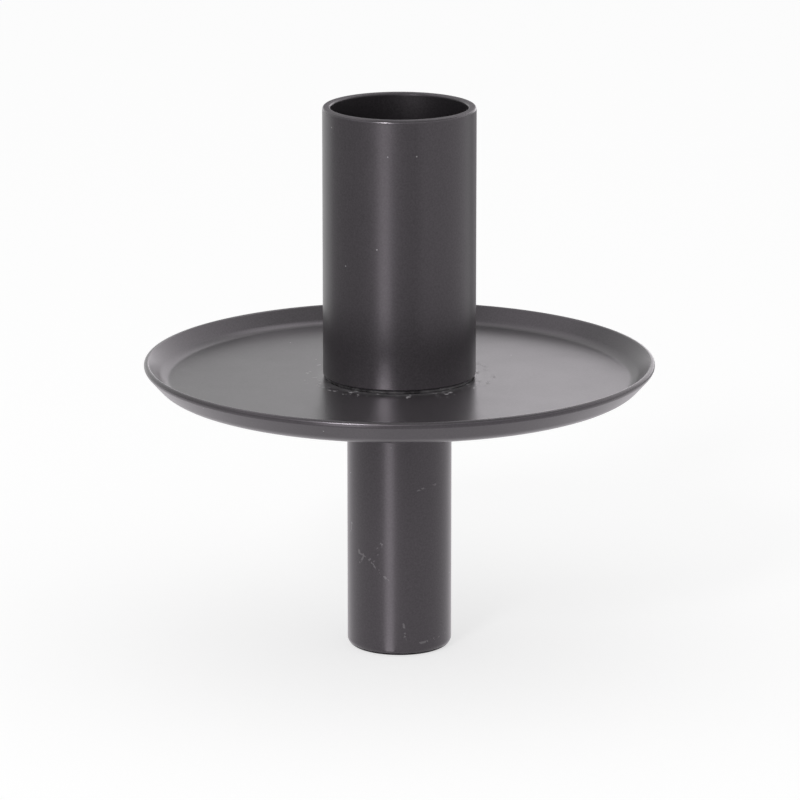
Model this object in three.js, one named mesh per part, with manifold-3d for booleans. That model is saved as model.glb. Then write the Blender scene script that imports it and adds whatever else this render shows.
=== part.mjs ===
// Iron candlestick for the neck of a bottle: a tube for the candle, a pressed drip tray and a hollow stem,
// clamped together by one screw that goes in through the stem.
// Millimetres, +Z up. The origin is the centre of the stem's lower end.
import * as THREE from 'three';
import { mergeVertices } from 'three/addons/utils/BufferGeometryUtils.js';
import Module from 'manifold-3d';

// Candle tube
const TUBE_DIAMETER = 25.4;
const TUBE_WALL = 1.4;
const TUBE_LENGTH = 45.2;
const TUBE_EDGE = 0.5;
const TUBE_FOOT_EDGE = 0.3;

// Drip tray, pressed from plate that thins towards the edge
const TRAY_DIAMETER = 84.8;
const TRAY_HEIGHT = 4.45;
const TRAY_FLOOR = 1.6;
const TRAY_WALL = 1.1;
const TRAY_FLARE = THREE.MathUtils.degToRad(48.2);
const TRAY_BEND = 4.05;
const TRAY_CORNER = 2.6;
const TRAY_EDGE = 0.9;

// Stem, a tube whose lower end is turned in as far as the screw's head allows
const STEM_DIAMETER = 17.4;
const STEM_WALL = 1.2;
const STEM_LENGTH = 44;
const STEM_END_ROUND = 1.3;
const STEM_EDGE = 0.25;
const HEAD_PASSAGE = 0.75;

// Stepped discs that close the two tubes where they meet the tray
const DISC_THICKNESS = 4;
const DISC_RIM = 0.5;
const DISC_EDGE = 0.2;
const RIM_INSET = 0.2;
const DISC_FIT = 0.05;

// Screw and split washer
const SCREW_DIAMETER = 5;
const SCREW_HEAD = 9.5;
const SCREW_HEAD_HEIGHT = 3.7;
const SCREW_HEAD_ROUND = 2.4;
const SCREW_POINT = 0.6;
const SCREW_TIP_DEPTH = 0.2;
const SCREW_PASSAGE = 0.25;
const THREAD_FIT = 0.1;
const RECESS_SPAN = 5;
const RECESS_WIDTH = 1.3;
const RECESS_DEPTH = 2.2;
const RECESS_TAPER = 0.55;
const WASHER_DIAMETER = 9.2;
const WASHER_THICKNESS = 1.2;
const WASHER_FIT = 0.15;
const WASHER_SPLIT = 0.9;

// Facets round a tube and round the screw, and in a rounded corner or a broken edge
const TUBE_FACETS = 72;
const SCREW_FACETS = 36;
const CORNER_FACETS = 4;
const EDGE_FACETS = 2;
const LARGEST_EDGE = 0.25;
const SAME_POINT = 1e-4;

const tubeRadius = TUBE_DIAMETER / 2;
const tubeBore = tubeRadius - TUBE_WALL;
const stemRadius = STEM_DIAMETER / 2;
const stemBore = stemRadius - STEM_WALL;
const stemMouth = SCREW_HEAD / 2 + HEAD_PASSAGE;
const screwRadius = SCREW_DIAMETER / 2;
const screwHole = screwRadius + SCREW_PASSAGE;
const threadHole = screwRadius + THREAD_FIT;

// Heights of the seats, from the stem's lower end upwards
const trayUnderside = STEM_LENGTH + DISC_RIM;
const trayFloor = trayUnderside + TRAY_FLOOR;
const tubeFoot = trayFloor + DISC_RIM;
const candleSeat = trayFloor + DISC_THICKNESS;
const plugUnderside = trayUnderside - DISC_THICKNESS;
const screwSeat = plugUnderside - WASHER_THICKNESS;
const screwLength = candleSeat - SCREW_TIP_DEPTH - screwSeat;

const blackPaint = { color: 0x1f1f20, roughness: 0.42, metalness: 0.1 };
const zincPlate = { color: 0xb4b7ba, roughness: 0.35, metalness: 0.9 };

const wasm = await Module();
wasm.setup();

// The points of one corner [radius, height, rounding] of a half-section, as an arc between its two edges.
function roundedCorner(before, corner, after) {
  const [radius, height, rounding = 0] = corner;
  const point = new THREE.Vector2(radius, height);
  if (rounding === 0) return [point];
  const back = new THREE.Vector2(before[0], before[1]).sub(point).normalize();
  const ahead = new THREE.Vector2(after[0], after[1]).sub(point).normalize();
  const inward = back.clone().add(ahead).normalize();
  const halfAngle = back.angleTo(ahead) / 2;
  const reach = rounding / Math.tan(halfAngle);
  const centre = point.clone().addScaledVector(inward, rounding / Math.sin(halfAngle));
  const start = point.clone().addScaledVector(back, reach);
  const end = point.clone().addScaledVector(ahead, reach);
  const turn = Math.sign(ahead.cross(back)) * (Math.PI - 2 * halfAngle);
  const facets = rounding > LARGEST_EDGE ? CORNER_FACETS : EDGE_FACETS;
  const arc = [start];
  for (let step = 1; step < facets; step += 1) {
    arc.push(start.clone().rotateAround(centre, turn * step / facets));
  }
  arc.push(end);
  return arc;
}

// A solid of revolution about Z. The corners run anticlockwise round the half-section, and the outline
// closes on itself unless it starts and ends on the axis.
function revolve(corners, facets) {
  const count = corners.length;
  const points = corners.flatMap((corner, index) => (
    roundedCorner(corners[(index + count - 1) % count], corner, corners[(index + 1) % count])
  ));
  const outline = points.filter((point, index) => (
    point.distanceTo(points[(index + 1) % points.length]) > SAME_POINT
  ));
  if (outline[0].x > 0) outline.push(outline[0].clone());
  return new THREE.LatheGeometry(outline, facets).rotateX(Math.PI / 2);
}

function toSolid(geometry) {
  const bare = geometry.clone();
  bare.deleteAttribute('normal');
  bare.deleteAttribute('uv');
  const merged = mergeVertices(bare, SAME_POINT);
  return new wasm.Manifold(new wasm.Mesh({
    numProp: 3,
    vertProperties: new Float32Array(merged.attributes.position.array),
    triVerts: new Uint32Array(merged.index.array),
  }));
}

function toGeometry(solid) {
  const mesh = solid.getMesh();
  const geometry = new THREE.BufferGeometry();
  geometry.setAttribute('position', new THREE.BufferAttribute(new Float32Array(mesh.vertProperties), 3));
  geometry.setIndex(new THREE.BufferAttribute(new Uint32Array(mesh.triVerts), 1));
  geometry.computeVertexNormals();
  return geometry;
}

function candleTube() {
  return revolve([
    [tubeBore, 0],
    [tubeRadius, 0, TUBE_FOOT_EDGE],
    [tubeRadius, TUBE_LENGTH, TUBE_EDGE],
    [tubeBore, TUBE_LENGTH, TUBE_EDGE],
  ], TUBE_FACETS);
}

// The plate bends up from a flat floor into a flared wall that is trimmed upright. The trimmed face is rounded
// away: broadly outside, and inside as far as the outer rounding leaves room for. The underside is divided at
// the stem's edge, so the ring that rests on a bottle's mouth is a face of its own.
function dripTray() {
  const radius = TRAY_DIAMETER / 2;
  const slope = Math.tan(TRAY_FLARE);
  const trimmedFace = TRAY_WALL / Math.cos(TRAY_FLARE);
  const outerReach = TRAY_EDGE * Math.tan(Math.PI / 4 - TRAY_FLARE / 2);
  const innerReach = trimmedFace - outerReach;
  const lipRound = innerReach / Math.tan(Math.PI / 4 + TRAY_FLARE / 2);
  const innerHeight = TRAY_HEIGHT - lipRound + innerReach;
  const outerHeight = innerHeight - trimmedFace;
  const innerFoot = radius - (innerHeight - TRAY_FLOOR) / slope;
  const outerFoot = radius - outerHeight / slope;
  return revolve([
    [screwHole, 0],
    [stemRadius, 0],
    [outerFoot, 0, TRAY_BEND],
    [radius, outerHeight, TRAY_EDGE],
    [radius, innerHeight, lipRound],
    [innerFoot, TRAY_FLOOR, TRAY_CORNER],
    [screwHole, TRAY_FLOOR],
  ], TUBE_FACETS);
}

function stemTube() {
  const innerRound = Math.max(STEM_END_ROUND - STEM_WALL, 0);
  return revolve([
    [stemMouth, 0, STEM_EDGE],
    [stemRadius, 0, STEM_END_ROUND],
    [stemRadius, STEM_LENGTH],
    [stemBore, STEM_LENGTH],
    [stemBore, STEM_WALL, innerRound],
    [stemMouth, STEM_WALL, STEM_EDGE],
  ], TUBE_FACETS);
}

// Corners of a disc that stops a tube on its rim and centres it on its step. The rim is at the bottom.
function steppedDisc(radius, bore, hole) {
  const rim = radius - RIM_INSET;
  const step = bore - DISC_FIT;
  return [
    [hole, 0],
    [rim, 0, DISC_EDGE],
    [rim, DISC_RIM, DISC_EDGE],
    [step, DISC_RIM],
    [step, DISC_THICKNESS, DISC_EDGE],
    [hole, DISC_THICKNESS],
  ];
}

function socketFloor() {
  return revolve(steppedDisc(tubeRadius, tubeBore, threadHole), TUBE_FACETS);
}

// The same disc turned over, with its rim at the top.
function stemPlug() {
  const upright = steppedDisc(stemRadius, stemBore, screwHole);
  const turnedOver = upright.map(([radius, height, rounding]) => [radius, DISC_THICKNESS - height, rounding]);
  return revolve(turnedOver.reverse(), TUBE_FACETS);
}

// One wing of the cross recess: a four-sided cone that narrows into the head, centred on the head's face.
function recessWing() {
  const narrow = RECESS_TAPER * Math.SQRT1_2;
  const wide = (2 - RECESS_TAPER) * Math.SQRT1_2;
  const wing = new THREE.CylinderGeometry(narrow, wide, 2 * RECESS_DEPTH, 4);
  wing.rotateY(Math.PI / 4).rotateX(Math.PI / 2);
  return wing.scale(RECESS_SPAN, RECESS_WIDTH, 1).translate(0, 0, -SCREW_HEAD_HEIGHT);
}

// Pan head downwards, with its bearing face at height 0 and its shank upwards.
function clampScrew() {
  const body = revolve([
    [0, -SCREW_HEAD_HEIGHT],
    [SCREW_HEAD / 2, -SCREW_HEAD_HEIGHT, SCREW_HEAD_ROUND],
    [SCREW_HEAD / 2, 0],
    [screwRadius, 0],
    [screwRadius, screwLength - SCREW_POINT],
    [screwRadius - SCREW_POINT, screwLength],
    [0, screwLength],
  ], SCREW_FACETS);
  const recess = toSolid(recessWing()).add(toSolid(recessWing().rotateZ(Math.PI / 2)));
  return toGeometry(toSolid(body).subtract(recess));
}

function springWasher() {
  const outer = WASHER_DIAMETER / 2;
  const inner = screwRadius + WASHER_FIT;
  const outerGap = Math.asin(WASHER_SPLIT / 2 / outer);
  const innerGap = Math.asin(WASHER_SPLIT / 2 / inner);
  const ring = new THREE.Shape();
  ring.absarc(0, 0, outer, outerGap, 2 * Math.PI - outerGap, false);
  ring.absarc(0, 0, inner, 2 * Math.PI - innerGap, innerGap, true);
  ring.closePath();
  return new THREE.ExtrudeGeometry(ring, {
    depth: WASHER_THICKNESS,
    bevelEnabled: false,
    curveSegments: SCREW_FACETS,
  });
}

function piece(name, geometry, finish, height) {
  const mesh = new THREE.Mesh(geometry, new THREE.MeshStandardMaterial(finish));
  mesh.name = name;
  mesh.position.z = height;
  return mesh;
}

const stem = new THREE.Group();
stem.add(piece('stem_tube', stemTube(), blackPaint, 0));
stem.add(piece('stem_plug', stemPlug(), blackPaint, plugUnderside));

const socket = new THREE.Group();
socket.add(piece('socket_floor', socketFloor(), blackPaint, trayFloor));
socket.add(piece('candle_tube', candleTube(), blackPaint, tubeFoot));

const fastening = new THREE.Group();
fastening.add(piece('clamp_screw', clampScrew(), zincPlate, screwSeat));
fastening.add(piece('spring_washer', springWasher(), zincPlate, screwSeat));

const candlestick = new THREE.Group();
candlestick.add(stem);
candlestick.add(piece('drip_tray', dripTray(), blackPaint, trayUnderside));
candlestick.add(socket);
candlestick.add(fastening);

export default candlestick;
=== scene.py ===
"""Looks of an iron candlestick for a bottle neck: turned and pressed steel under satin black paint."""
import math

import bpy
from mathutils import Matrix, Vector


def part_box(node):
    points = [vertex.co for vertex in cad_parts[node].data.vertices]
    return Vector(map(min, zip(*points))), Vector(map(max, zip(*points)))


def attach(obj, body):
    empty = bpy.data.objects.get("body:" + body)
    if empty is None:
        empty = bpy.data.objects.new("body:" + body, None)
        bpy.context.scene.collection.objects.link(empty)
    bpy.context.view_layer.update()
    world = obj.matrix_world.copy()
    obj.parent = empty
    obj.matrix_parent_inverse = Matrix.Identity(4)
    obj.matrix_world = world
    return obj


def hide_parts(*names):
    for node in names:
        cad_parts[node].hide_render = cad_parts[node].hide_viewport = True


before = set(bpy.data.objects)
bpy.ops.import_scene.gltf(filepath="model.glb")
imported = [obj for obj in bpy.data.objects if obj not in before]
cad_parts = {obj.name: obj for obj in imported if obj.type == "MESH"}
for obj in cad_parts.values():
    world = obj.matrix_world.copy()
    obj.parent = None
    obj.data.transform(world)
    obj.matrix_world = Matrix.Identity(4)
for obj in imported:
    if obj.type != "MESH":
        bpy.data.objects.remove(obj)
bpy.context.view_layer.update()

# Sizes in metres, and the tray's flare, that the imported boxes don't give
MM = 0.001
TUBE_WALL = 1.4 * MM
TUBE_EDGE = 0.5 * MM
TUBE_FOOT_EDGE = 0.3 * MM
TRAY_FLOOR = 1.6 * MM
TRAY_WALL = 1.1 * MM
TRAY_FLARE = math.radians(48.2)
TRAY_BEND = 4.05 * MM
TRAY_CORNER = 2.6 * MM
TRAY_EDGE = 0.9 * MM
STEM_WALL = 1.2 * MM
STEM_END_ROUND = 1.3 * MM
STEM_MOUTH = 5.5 * MM
STEM_EDGE = 0.25 * MM
DISC_RIM = 0.5 * MM
DISC_EDGE = 0.2 * MM
DISC_FIT = 0.05 * MM
SCREW_HOLE = 2.75 * MM
THREAD_HOLE = 2.6 * MM
BROKEN_EDGE = 0.08 * MM

# Facets round a piece, in a quarter turn of a rounded edge, and at least on any edge
RING_FACETS = 256
QUARTER_FACETS = 12
FEWEST_FACETS = 2

# Outer edges rounded by less than this are worn
WORN_ROUND = 2 * MM

# How squarely a face of an upright bore looks at the axis, at least
BORE_FACING = 0.9

# Black paint: its two tones, the two darker tones of the paint in the bores, which are painted shade, and
# how both mirror light
BLACK = (0.029, 0.026, 0.029)
WORN_BLACK = (0.047, 0.042, 0.047)
BORE_SHADE_BLACK = (0.014, 0.0125, 0.014)
BORE_SHADE_WORN_BLACK = (0.024, 0.0215, 0.024)
PAINT_TINT = (1, 0.95, 1, 1)
PAINT_IOR = 1.5
PAINT_SPECULAR = 0.5
BORE_SPECULAR = 0.15

# Roughness of the paint, how far it strays from patch to patch, what wear takes off and what a saw adds
PAINT_ROUGHNESS = 0.29
BORE_ROUGHNESS = 0.45
GLOSS_SPREAD = 0.025
EDGE_POLISH = 0.03
TUBE_POLISH = 0.14
SAWN_ROUGHNESS = 0.4

# Texture of the paint: octaves of noise, sizes of its lumps, and their depths
PLAIN_DETAIL = 2
FINE_DETAIL = 4
SMUDGE_SIZE = 6 * MM
PEEL_SIZE = 0.9 * MM
PEEL_DEPTH = 0.002 * MM
GRAIN_SIZE = 0.3 * MM
GRAIN_DEPTH = 0.002 * MM

# Tones of the paint: 0 is dark, this value is worn, and 1 is dust, whose colour also paints light over the
# shade round the candle tube's foot
WORN_TONE = 0.5

# The noise over which the grain goes from dark to worn
GRAIN_RANGE = (0.3, 0.7)

# How far up a face has to look before it starts to count as level, and before it fully does
LEVEL_RANGE = (0.6, 0.9)

# Specks of any kind: the full-strength share of their size, and how sharply cells with one are picked
SPECK_CORE = 0.5
SPECK_STEP = 0.01

# Stray specks: spacing of the cells, size, and the share of cells that hold one
STRAY_SPACING = 3 * MM
STRAY_SIZE = 0.2 * MM
STRAY_SHARE = 0.35

# Scratches on the stem: lines between cells, which show in patches and break up into dots
SCRATCH_SHIFT = (0.020, 0, 0)
SCRATCH_SPACING = 13 * MM
SCRATCH_WIDTH = 0.45 * MM
SCRATCH_CORE = 0.3
SCRATCH_PATCH_SIZE = 9.1 * MM
SCRATCH_PATCH_RANGE = (0.48, 0.53)
SCRATCH_DOT_SIZE = 0.8 * MM
SCRATCH_DOT_RANGE = (0.45, 0.57)
SCRATCH_TONE = 0.68

# Dust and painted light where the candle tube meets the tray: a ragged pale film, which is dust and also
# painted light that lifts the shade by the seam, and lint that sets in near the seam
DUST_AND_PAINTED_LIGHT_COLOUR = (0.36, 0.35, 0.36)
DUST_REACH = 6 * MM
RAGGED_SIZE = 0.6 * MM
RAGGED_DEPTH = 0.5 * MM
FILM_AND_PAINTED_LIGHT_TONE = (0.5, 0.85)
LINT_STRETCH = (1, 0.5, 1)
LINT_SPACING = 1.2 * MM
LINT_SIZE = 0.5 * MM
LINT_SHARE = 0.8
LINT_RANGE = (0.2, 0.5)
LINT_ROUGHNESS = 0.6

# The seam under the candle tube's foot: dull paint, darker for dirt and for painted shade in the groove,
# and dust that sets in over a range of noise
SEAM_DIRT_AND_SHADE_BLACK = (0.02, 0.0185, 0.02)
SEAM_DUST = (0.16, 0.155, 0.16)
SEAM_DUST_SIZE = 2.5 * MM
SEAM_DUST_RANGE = (0.35, 0.65)
SEAM_ROUGHNESS = (0.6, 0.9)
SEAM_SPECULAR = 0.1
SEAM_DEPTH = 0.01 * MM

# Bright zinc plate
ZINC_COLOUR = (0.62, 0.63, 0.64, 1)
ZINC_GRAIN_SIZE = 0.2 * MM
ZINC_DEPTH = 0.004 * MM
ZINC_ROUGHNESS = (0.28, 0.42)

# The photograph's view: distance and pitch from the tray's middle, the point aimed at, and the scale there
VIEW_DISTANCE = 0.900
VIEW_PITCH = math.radians(13.89)
VIEW_CENTRE = Vector((0, 0, 0.047))
VIEW_AIM = Vector((0.0001, 0, 0.0420))
PIXELS_PER_METRE = 6019
IMAGE_PIXELS = 800
SENSOR_WIDTH = 36

# Studio: light from all round, the floor, and a square lamp
WHITE = (1, 1, 1, 1)
AMBIENT = 0.60
FLOOR_SIZE = 8
FLOOR_COLOUR = (0.55, 0.55, 0.55, 1)
FLOOR_GLOW = 0.63
KEY_PLACE = Vector((-0.36, -0.80, 0.60))
KEY_AIM = Vector((0, 0, 0.06))
KEY_SIZE = 0.18
KEY_RADIANCE = 14

# Lit cards: facets along an arc, tone, unlit colour, and height over the floor of those that lie on it
CARD_FACETS = 24
CARD_COLOUR = (1, 0.965, 1, 1)
CARD_UNLIT = (0, 0, 0, 1)
CARD_LIFT = 0.1 * MM

# Cards on the floor: azimuth and width in degrees, inner and outer radius, radiance
FLOOR_CARDS = {
    # The dim card under the stem is painted shade: it stands for the floor's shade there in reflections
    "contact_shade_card": (0, 360, 0.001, 0.0085, 0.1),
    "near_floor_card": (0, 360, 0.0085, 0.20, 1.2),
    "far_floor_card": (-45, 150, 0.20, 0.36, 0.62),
    "table_edge_card": (-45, 150, 0.36, 0.8, 0.5),
    "right_floor_card": (75, 90, 0.20, 0.7, 1.15),
    "back_floor_card": (155, 50, 0.20, 0.7, 0.45),
}

# The card that lies over the others, roughly in line with the lamp, with a painted reflection of the lamp
# that grows at low angles
STRIPE_AZIMUTH = -22
STRIPE_WIDTH = 18
STRIPE_START = (0.0045, 2 * CARD_LIFT)
STRIPE_END = (0.40, 2 * CARD_LIFT)
STRIPE_RADIANCE = 1.25
STRIPE_PAINTED_REFLECTION = 2.8
STRIPE_AHEAD = 4.4 * MM

# Cards round the object: azimuth and width in degrees, two edges as (radius, height), radiance
STANDING_CARDS = {
    "strip_card": (-22, 14, (0.9, 0.16), (0.9, 0.50), 36),
    "front_card": (20, 200, (1.0, 0.14), (1.0, 0.50), 2.0),
    "left_high_card": (-115, 100, (0.75, 0.72), (0.30, 0.80), 1.8),
    "right_high_card": (138, 60, (0.62, 0.75), (0.30, 0.80), 3),
    "right_back_card": (160, 40, (0.9, 0), (0.9, 0.6), 1.7),
    "right_side_card": (123, 34, (0.8, 0.30), (0.64, 0.72), 1.7),
    "right_low_card": (163, 34, (0.88, 0), (0.88, 0.12), 2.2),
    "left_low_card": (-163, 34, (0.88, 0), (0.88, 0.12), 1.35),
}


# Meshes

def unit(dx, dz):
    length = math.hypot(dx, dz)
    return dx / length, dz / length


def rounded_corner(before, corner, after):
    """Points, outward normals and wear of one corner (radius, height, rounding) of a half-section."""
    radius, height, rounding = corner
    back = unit(before[0] - radius, before[1] - height)
    ahead = unit(after[0] - radius, after[1] - height)
    turn = math.pi - math.acos(max(-1, min(1, back[0] * ahead[0] + back[1] * ahead[1])))
    convex = back[0] * ahead[1] - back[1] * ahead[0] < 0
    reach = rounding * math.tan(turn / 2)
    start = (radius + back[0] * reach, height + back[1] * reach)
    side = 1 if convex else -1
    normal = (-back[1], back[0])
    centre = (start[0] - side * rounding * normal[0], start[1] - side * rounding * normal[1])
    steps = max(FEWEST_FACETS, round(QUARTER_FACETS * turn / (math.pi / 2)))
    points = []
    for step in range(steps + 1):
        share = step / steps
        angle = side * turn * share
        out = (
            normal[0] * math.cos(angle) - normal[1] * math.sin(angle),
            normal[0] * math.sin(angle) + normal[1] * math.cos(angle),
        )
        place = (centre[0] + side * rounding * out[0], centre[1] + side * rounding * out[1])
        wear = math.sin(math.pi * share) if convex and rounding < WORN_ROUND else 0
        points.append((place, out, wear))
    return points


def lathe(name, corners):
    """A closed ring turned about Z. The corners run anticlockwise round the half-section."""
    count = len(corners)
    section = []
    for index, corner in enumerate(corners):
        section += rounded_corner(corners[index - 1], corner, corners[(index + 1) % count])
    verts, normals, wear = [], [], []
    for (radius, height), (out, up), edge in section:
        for facet in range(RING_FACETS):
            angle = 2 * math.pi * facet / RING_FACETS
            verts.append((radius * math.cos(angle), radius * math.sin(angle), height))
            normals.append((out * math.cos(angle), out * math.sin(angle), up))
            wear.append(edge)
    faces = []
    for ring in range(len(section)):
        low = ring * RING_FACETS
        high = (ring + 1) % len(section) * RING_FACETS
        for facet in range(RING_FACETS):
            beside = (facet + 1) % RING_FACETS
            faces.append((low + facet, low + beside, high + beside, high + facet))
    mesh = bpy.data.meshes.new(name)
    mesh.from_pydata(verts, [], faces)
    mesh.shade_smooth()
    mesh.attributes.new("wear", "FLOAT", "POINT").data.foreach_set("value", wear)
    mesh.normals_split_custom_set_from_vertices(normals)
    return mesh


def show(name, data):
    """Puts a mesh, a lamp or a camera in the scene."""
    obj = bpy.data.objects.new(name, data)
    bpy.context.scene.collection.objects.link(obj)
    return obj


def piece(mesh, node, material, shaded_bore_material=None):
    """Shows a mesh in place of a node of the frame. A second, darker material covers its upright bore as
    painted shade.
    """
    obj = show(mesh.name, mesh)
    mesh.materials.append(material)
    if shaded_bore_material:
        mesh.materials.append(shaded_bore_material)
        for face in mesh.polygons:
            inward = -face.normal.xy.dot(face.center.xy.normalized())
            face.material_index = int(inward > BORE_FACING)
    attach(obj, "root")
    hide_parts(node)


def extent(node):
    """Outside radius, lowest and highest point of a node."""
    low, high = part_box(node)
    return high[0], low[2], high[2]


def candle_tube():
    radius, low, high = extent("candle_tube")
    bore = radius - TUBE_WALL
    return lathe("candle_tube_turned", [
        (bore, low, BROKEN_EDGE),
        (radius, low, TUBE_FOOT_EDGE),
        (radius, high, TUBE_EDGE),
        (bore, high, TUBE_EDGE),
    ])


def drip_tray():
    radius, low, high = extent("drip_tray")
    slope = math.tan(TRAY_FLARE)
    trimmed_face = TRAY_WALL / math.cos(TRAY_FLARE)
    inner_reach = trimmed_face - TRAY_EDGE * math.tan(math.pi / 4 - TRAY_FLARE / 2)
    lip_round = inner_reach / math.tan(math.pi / 4 + TRAY_FLARE / 2)
    floor = low + TRAY_FLOOR
    inner_edge = high - lip_round + inner_reach
    outer_edge = inner_edge - trimmed_face
    inner_foot = radius - (inner_edge - floor) / slope
    outer_foot = radius - (outer_edge - low) / slope
    return lathe("drip_tray_pressed", [
        (SCREW_HOLE, low, BROKEN_EDGE),
        (outer_foot, low, TRAY_BEND),
        (radius, outer_edge, TRAY_EDGE),
        (radius, inner_edge, lip_round),
        (inner_foot, floor, TRAY_CORNER),
        (SCREW_HOLE, floor, BROKEN_EDGE),
    ])


def stem_tube():
    radius, low, high = extent("stem_tube")
    bore = radius - STEM_WALL
    return lathe("stem_tube_turned", [
        (STEM_MOUTH, low, STEM_EDGE),
        (radius, low, STEM_END_ROUND),
        (radius, high, BROKEN_EDGE),
        (bore, high, BROKEN_EDGE),
        (bore, low + STEM_WALL, STEM_END_ROUND - STEM_WALL),
        (STEM_MOUTH, low + STEM_WALL, STEM_EDGE),
    ])


def socket_floor():
    radius, low, high = extent("socket_floor")
    step = extent("candle_tube")[0] - TUBE_WALL - DISC_FIT
    return lathe("socket_floor_turned", [
        (THREAD_HOLE, low, BROKEN_EDGE),
        (radius, low, DISC_EDGE),
        (radius, low + DISC_RIM, DISC_EDGE),
        (step, low + DISC_RIM, BROKEN_EDGE),
        (step, high, DISC_EDGE),
        (THREAD_HOLE, high, DISC_EDGE),
    ])


def stem_plug():
    radius, low, high = extent("stem_plug")
    step = extent("stem_tube")[0] - STEM_WALL - DISC_FIT
    return lathe("stem_plug_turned", [
        (SCREW_HOLE, low, DISC_EDGE),
        (step, low, DISC_EDGE),
        (step, high - DISC_RIM, BROKEN_EDGE),
        (radius, high - DISC_RIM, DISC_EDGE),
        (radius, high, DISC_EDGE),
        (SCREW_HOLE, high, BROKEN_EDGE),
    ])


# Materials

class Graph:
    """The nodes of a material or a world. Most methods add nodes and give the socket of their result."""

    def __init__(self, owner):
        owner.use_nodes = True
        self.nodes = owner.node_tree.nodes
        self.links = owner.node_tree.links

    def link(self, value, socket):
        self.links.new(value, socket)

    def coords(self):
        """The place on the object, in metres."""
        return self.nodes.new("ShaderNodeTexCoord").outputs["Object"]

    def normal(self):
        return self.nodes.new("ShaderNodeNewGeometry").outputs["Normal"]

    def attribute(self, name):
        node = self.nodes.new("ShaderNodeAttribute")
        node.attribute_name = name
        return node.outputs["Fac"]

    def seen_rays(self):
        """1 for rays that show a surface or its mirror image, and 0 for light that bounces."""
        path = self.nodes.new("ShaderNodeLightPath").outputs
        mirrored = self.combine("MAXIMUM", path["Is Glossy Ray"], path["Is Transmission Ray"])
        return self.combine("MAXIMUM", path["Is Camera Ray"], mirrored)

    def combine(self, operation, first, second):
        node = self.nodes.new("ShaderNodeMath")
        node.operation = operation
        self.link(first, node.inputs[0])
        self.link(second, node.inputs[1])
        return node.outputs["Value"]

    def spread(self, value, low, high):
        """A value from 0 to 1, spread over a range."""
        node = self.nodes.new("ShaderNodeMapRange")
        node.inputs["To Min"].default_value = low
        node.inputs["To Max"].default_value = high
        self.link(value, node.inputs["Value"])
        return node.outputs["Result"]

    def fade(self, value, start, end):
        """0 before the start and 1 past the end, whichever of the two is higher."""
        node = self.nodes.new("ShaderNodeMapRange")
        node.inputs["From Min"].default_value = start
        node.inputs["From Max"].default_value = end
        self.link(value, node.inputs["Value"])
        return node.outputs["Result"]

    def shades(self, value, *colours):
        """Colours spaced evenly over a value from 0 to 1."""
        ramp = self.nodes.new("ShaderNodeValToRGB")
        elements = ramp.color_ramp.elements
        elements[0].color = (*colours[0], 1)
        elements[1].color = (*colours[-1], 1)
        for index, colour in enumerate(colours[1:-1], 1):
            elements.new(index / (len(colours) - 1)).color = (*colour, 1)
        self.link(value, ramp.inputs["Fac"])
        return ramp.outputs["Color"]

    def bump(self, height, depth, under=None):
        node = self.nodes.new("ShaderNodeBump")
        node.inputs["Distance"].default_value = depth
        self.link(height, node.inputs["Height"])
        if under:
            self.link(under, node.inputs["Normal"])
        return node.outputs["Normal"]

    def axes(self, vector):
        node = self.nodes.new("ShaderNodeSeparateXYZ")
        self.link(vector, node.inputs["Vector"])
        return node.outputs

    def pair(self, first, second):
        """A vector of two values."""
        node = self.nodes.new("ShaderNodeCombineXYZ")
        self.link(first, node.inputs["X"])
        self.link(second, node.inputs["Y"])
        return node.outputs["Vector"]

    def distance(self, place, point):
        node = self.nodes.new("ShaderNodeVectorMath")
        node.operation = "DISTANCE"
        self.link(place, node.inputs[0])
        node.inputs[1].default_value = point
        return node.outputs["Value"]

    def mapped(self, coords, shift=(0, 0, 0), scale=(1, 1, 1)):
        node = self.nodes.new("ShaderNodeMapping")
        node.inputs["Location"].default_value = shift
        node.inputs["Scale"].default_value = scale
        self.link(coords, node.inputs["Vector"])
        return node.outputs["Vector"]

    def noise(self, coords, size, detail=PLAIN_DETAIL):
        """A noise texture with lumps of about one size."""
        texture = self.nodes.new("ShaderNodeTexNoise")
        texture.inputs["Scale"].default_value = 1 / size
        texture.inputs["Detail"].default_value = detail
        self.link(coords, texture.inputs["Vector"])
        return texture.outputs["Fac"]

    def ruffled(self, coords, size, depth):
        """Coordinates that wander to all sides, so that round specks come out ragged."""
        texture = self.nodes.new("ShaderNodeTexNoise")
        texture.normalize = False
        texture.inputs["Scale"].default_value = 1 / size
        self.link(coords, texture.inputs["Vector"])
        node = self.nodes.new("ShaderNodeVectorMath")
        node.operation = "MULTIPLY_ADD"
        self.link(texture.outputs["Color"], node.inputs[0])
        node.inputs[1].default_value = (depth, depth, depth)
        self.link(coords, node.inputs[2])
        return node.outputs["Vector"]

    def cells(self, coords, spacing, feature):
        texture = self.nodes.new("ShaderNodeTexVoronoi")
        texture.feature = feature
        texture.inputs["Scale"].default_value = 1 / spacing
        self.link(coords, texture.inputs["Vector"])
        return texture.outputs

    def specks(self, coords, spacing, size, share):
        """1 on round specks, in a share of cells of one spacing, and 0 between them."""
        texture = self.cells(coords, spacing, "F1")
        reach = size / spacing
        spot = self.fade(texture["Distance"], reach, SPECK_CORE * reach)
        taken = self.fade(texture["Color"], 1 - share, 1 - share + SPECK_STEP)
        return self.combine("MULTIPLY", spot, taken)


def new_material(name):
    """A material, its graph and the inputs of its shader."""
    material = bpy.data.materials.new(name)
    graph = Graph(material)
    return material, graph, graph.nodes["Principled BSDF"].inputs


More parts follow.
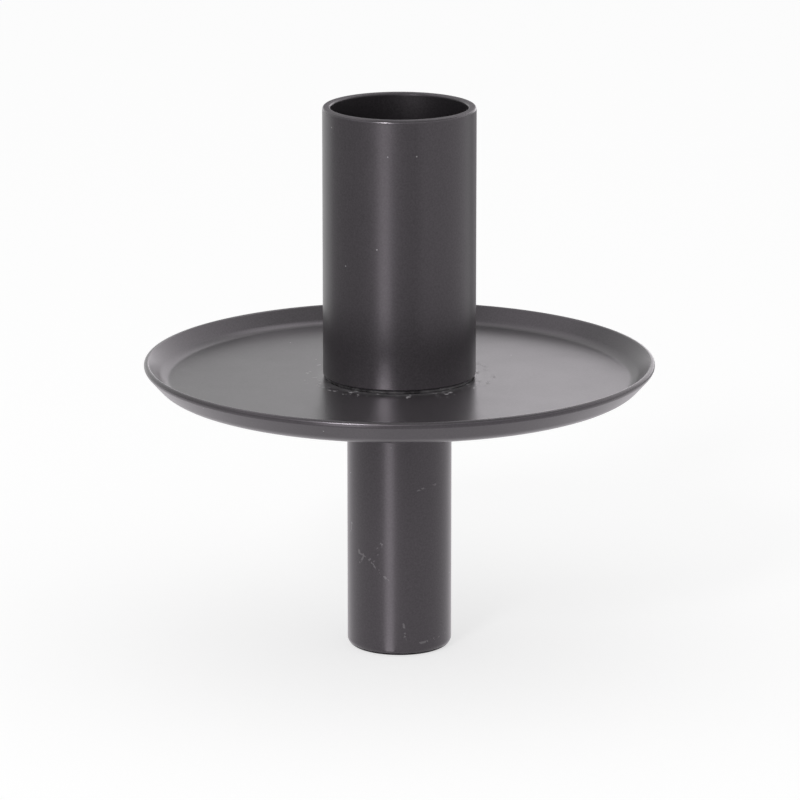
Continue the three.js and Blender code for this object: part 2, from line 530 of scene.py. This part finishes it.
def scratches(graph, coords):
    """1 on broken, dotted lines, and 0 elsewhere. The shift picks the pattern."""
    moved = graph.mapped(coords, shift=SCRATCH_SHIFT)
    border = graph.cells(moved, SCRATCH_SPACING, "DISTANCE_TO_EDGE")["Distance"]
    reach = SCRATCH_WIDTH / SCRATCH_SPACING
    line = graph.fade(border, reach, SCRATCH_CORE * reach)
    patches = graph.fade(graph.noise(moved, SCRATCH_PATCH_SIZE), *SCRATCH_PATCH_RANGE)
    dots = graph.fade(graph.noise(moved, SCRATCH_DOT_SIZE), *SCRATCH_DOT_RANGE)
    return graph.combine("MULTIPLY", line, graph.combine("MULTIPLY", patches, dots))


def near_seam(graph, coords):
    """1 at the candle tube's foot, fading to 0 over the tray round it, where dust and painted light lie."""
    radius, height = extent("candle_tube")[:2]
    place = graph.axes(coords)
    from_axis = graph.distance(graph.pair(place["X"], place["Y"]), (0, 0, 0))
    section = graph.pair(from_axis, place["Z"])
    return graph.fade(graph.distance(section, (radius, height, 0)), DUST_REACH, 0)


def seam_dust_and_painted_light(graph, coords, smudge, level):
    """Tones of the pale film round the candle tube's foot, which is dust and painted light that lifts the
    shade there, and of the lint on it.
    """
    ragged = graph.ruffled(coords, RAGGED_SIZE, RAGGED_DEPTH)
    seam = graph.combine("MULTIPLY", near_seam(graph, ragged), level)
    # The film is partly painted light: it lightens the tray by the seam, where shade falls
    film_and_painted_light = graph.combine("MULTIPLY", seam, graph.spread(smudge, *FILM_AND_PAINTED_LIGHT_TONE))
    stretched = graph.mapped(ragged, scale=LINT_STRETCH)
    flecks = graph.specks(stretched, LINT_SPACING, LINT_SIZE, LINT_SHARE)
    lint = graph.combine("MULTIPLY", flecks, graph.fade(seam, *LINT_RANGE))
    return film_and_painted_light, lint


def paint_tone(graph, coords, grain, dust_and_painted_light, scratched):
    """The tone of grained paint under layers of dust, painted light round the seam, stray specks and
    scratches.
    """
    layers = [*dust_and_painted_light, graph.specks(coords, STRAY_SPACING, STRAY_SIZE, STRAY_SHARE)]
    if scratched:
        layers.append(graph.spread(scratches(graph, coords), 0, SCRATCH_TONE))
    tone = graph.spread(graph.fade(grain, *GRAIN_RANGE), 0, WORN_TONE)
    for layer in layers:
        tone = graph.combine("MAXIMUM", tone, layer)
    return tone


def paint_roughness(graph, smudge, level, lint, roughness, polish, sawn):
    satin = graph.spread(smudge, roughness - GLOSS_SPREAD, roughness + GLOSS_SPREAD)
    worn = graph.combine("ADD", satin, graph.spread(graph.attribute("wear"), 0, -polish))
    clean = graph.combine("ADD", worn, graph.spread(level, 0, sawn))
    return graph.combine("MAXIMUM", clean, graph.spread(lint, 0, LINT_ROUGHNESS))


def black_paint(
    name,
    tones=(BLACK, WORN_BLACK),
    roughness=PAINT_ROUGHNESS,
    specular=PAINT_SPECULAR,
    polish=EDGE_POLISH,
    sawn=0,
    scratched=False,
):
    """Satin paint with a fine grain, stray specks, and dust with painted light in the seam.

    The polish makes worn edges smoother, and the sawn value makes faces that look up rougher.
    """
    material, graph, shader = new_material(name)
    coords = graph.coords()
    smudge = graph.noise(coords, SMUDGE_SIZE, FINE_DETAIL)
    peel = graph.noise(coords, PEEL_SIZE)
    grain = graph.noise(coords, GRAIN_SIZE)
    level = graph.fade(graph.axes(graph.normal())["Z"], *LEVEL_RANGE)
    film_and_painted_light, lint = seam_dust_and_painted_light(graph, coords, smudge, level)
    tone = paint_tone(graph, coords, grain, (film_and_painted_light, lint), scratched)
    graph.link(graph.shades(tone, *tones, DUST_AND_PAINTED_LIGHT_COLOUR), shader["Base Color"])
    gloss = paint_roughness(graph, smudge, level, lint, roughness, polish, sawn)
    graph.link(gloss, shader["Roughness"])
    grained = graph.bump(grain, GRAIN_DEPTH)
    graph.link(graph.bump(peel, PEEL_DEPTH, grained), shader["Normal"])
    shader["IOR"].default_value = PAINT_IOR
    shader["Specular IOR Level"].default_value = specular
    shader["Specular Tint"].default_value = PAINT_TINT
    return material


def seam_dirt_and_shade_paint():
    """Dull paint under the candle tube's foot, darkened for dirt and as painted shade in the groove, with
    dust caught along stretches of the seam.
    """
    material, graph, shader = new_material("seam_dirt_and_shade_paint")
    coords = graph.coords()
    caught = graph.fade(graph.noise(coords, SEAM_DUST_SIZE, FINE_DETAIL), *SEAM_DUST_RANGE)
    grain = graph.noise(coords, GRAIN_SIZE)
    graph.link(graph.shades(caught, SEAM_DIRT_AND_SHADE_BLACK, SEAM_DUST), shader["Base Color"])
    graph.link(graph.spread(caught, *SEAM_ROUGHNESS), shader["Roughness"])
    graph.link(graph.bump(grain, SEAM_DEPTH), shader["Normal"])
    shader["Specular IOR Level"].default_value = SEAM_SPECULAR
    return material


def zinc_plate():
    material, graph, shader = new_material("zinc_plate")
    grain = graph.noise(graph.coords(), ZINC_GRAIN_SIZE, FINE_DETAIL)
    graph.link(graph.spread(grain, *ZINC_ROUGHNESS), shader["Roughness"])
    graph.link(graph.bump(grain, ZINC_DEPTH), shader["Normal"])
    shader["Base Color"].default_value = ZINC_COLOUR
    shader["Metallic"].default_value = 1
    return material


# Studio

def studio_world():
    """White where it is seen or mirrored, and dimmer as a light."""
    world = bpy.data.worlds.new("studio")
    bpy.context.scene.world = world
    graph = Graph(world)
    background = graph.nodes["Background"].inputs
    background["Color"].default_value = WHITE
    graph.link(graph.spread(graph.seen_rays(), AMBIENT, 1), background["Strength"])


def studio_floor():
    """A pale floor that glows where it is seen or mirrored, and keeps the object's shadow."""
    half = FLOOR_SIZE / 2
    corners = [(-half, -half, 0), (half, -half, 0), (half, half, 0), (-half, half, 0)]
    mesh = bpy.data.meshes.new("floor")
    mesh.from_pydata(corners, [], [(0, 1, 2, 3)])
    material, graph, shader = new_material("floor")
    shader["Base Color"].default_value = FLOOR_COLOUR
    shader["Roughness"].default_value = 1
    shader["Specular IOR Level"].default_value = 0
    shader["Emission Color"].default_value = WHITE
    graph.link(graph.spread(graph.seen_rays(), 0, FLOOR_GLOW), shader["Emission Strength"])
    mesh.materials.append(material)
    show("floor", mesh)


def card_light(name, radiance, painted_reflection):
    """An even light. The painted reflection is extra glow that stands for a lamp mirrored in the card, so
    it shows at a low angle.
    """
    material, graph, shader = new_material(name)
    shader["Base Color"].default_value = CARD_UNLIT
    shader["Specular IOR Level"].default_value = 0
    shader["Emission Color"].default_value = CARD_COLOUR
    shader["Emission Strength"].default_value = radiance
    # Painted reflection: glow that rises at low angles, as a lamp mirrored in polish would
    if painted_reflection:
        mirrored = graph.nodes.new("ShaderNodeFresnel").outputs["Fac"]
        graph.link(graph.spread(mirrored, radiance, radiance + painted_reflection), shader["Emission Strength"])
    return material


def card(name, azimuth, width, start, end, radiance, painted_reflection=0, ahead=0):
    """A lit card that only shows in reflections: a band between two arcs (radius, height).

    The azimuth and the width are in degrees, from the viewer's side to the right. The arcs are centred
    on the object's axis, or ahead of it towards the viewer.
    """
    verts = []
    for radius, height in (start, end):
        for step in range(CARD_FACETS + 1):
            angle = math.radians(azimuth + width * (step / CARD_FACETS - 0.5))
            verts.append((radius * math.sin(angle), -radius * math.cos(angle) - ahead, height))
    row = CARD_FACETS + 1
    faces = [(step, step + 1, row + step + 1, row + step) for step in range(CARD_FACETS)]
    mesh = bpy.data.meshes.new(name)
    mesh.from_pydata(verts, [], faces)
    mesh.materials.append(card_light(name, radiance, painted_reflection))
    obj = show(name, mesh)
    obj.visible_camera = False
    obj.visible_diffuse = False
    obj.visible_transmission = False
    obj.visible_shadow = False


def key_light():
    """A soft square lamp of an even radiance."""
    light = bpy.data.lights.new("key", "AREA")
    light.size = KEY_SIZE
    light.energy = KEY_RADIANCE * math.pi * KEY_SIZE ** 2
    obj = show("key", light)
    obj.location = KEY_PLACE
    obj.rotation_euler = (KEY_AIM - KEY_PLACE).to_track_quat("-Z", "Y").to_euler()
    obj.visible_camera = False


def studio_cards():
    for name, (azimuth, width, inner, outer, radiance) in FLOOR_CARDS.items():
        card(name, azimuth, width, (inner, CARD_LIFT), (outer, CARD_LIFT), radiance)
    card(
        "stripe_card",
        STRIPE_AZIMUTH,
        STRIPE_WIDTH,
        STRIPE_START,
        STRIPE_END,
        STRIPE_RADIANCE,
        painted_reflection=STRIPE_PAINTED_REFLECTION,
        ahead=STRIPE_AHEAD,
    )
    for name, (azimuth, width, start, end, radiance) in STANDING_CARDS.items():
        card(name, azimuth, width, start, end, radiance)


def photo_camera():
    camera = bpy.data.cameras.new("camera")
    camera.sensor_width = SENSOR_WIDTH
    camera.lens = PIXELS_PER_METRE * VIEW_DISTANCE / IMAGE_PIXELS * SENSOR_WIDTH
    obj = show("camera", camera)
    back = Vector((0, -math.cos(VIEW_PITCH), math.sin(VIEW_PITCH)))
    obj.location = VIEW_CENTRE + VIEW_DISTANCE * back
    obj.rotation_euler = (VIEW_AIM - obj.location).to_track_quat("-Z", "Y").to_euler()
    bpy.context.scene.camera = obj


# The candlestick

paint = black_paint("black_paint")
tube_paint = black_paint("tube_paint", polish=TUBE_POLISH, sawn=SAWN_ROUGHNESS)
stem_paint = black_paint("stem_paint", scratched=True)
# Darker paint in the bores: painted shade inside the tubes
shaded_bore_paint = black_paint(
    "shaded_bore_paint",
    tones=(BORE_SHADE_BLACK, BORE_SHADE_WORN_BLACK),
    roughness=BORE_ROUGHNESS,
    specular=BORE_SPECULAR,
    polish=0,
)
zinc = zinc_plate()
piece(candle_tube(), "candle_tube", tube_paint, shaded_bore_paint)
piece(drip_tray(), "drip_tray", paint)
piece(stem_tube(), "stem_tube", stem_paint, shaded_bore_paint)
# The socket floor's darker paint is partly painted shade in the groove under the tube
piece(socket_floor(), "socket_floor", seam_dirt_and_shade_paint())
piece(stem_plug(), "stem_plug", paint)
for node in ("clamp_screw", "spring_washer"):
    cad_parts[node].data.materials.clear()
    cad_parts[node].data.materials.append(zinc)

# The picture

studio_world()
studio_floor()
key_light()
studio_cards()
photo_camera()
bpy.context.scene.view_settings.view_transform = "Standard"
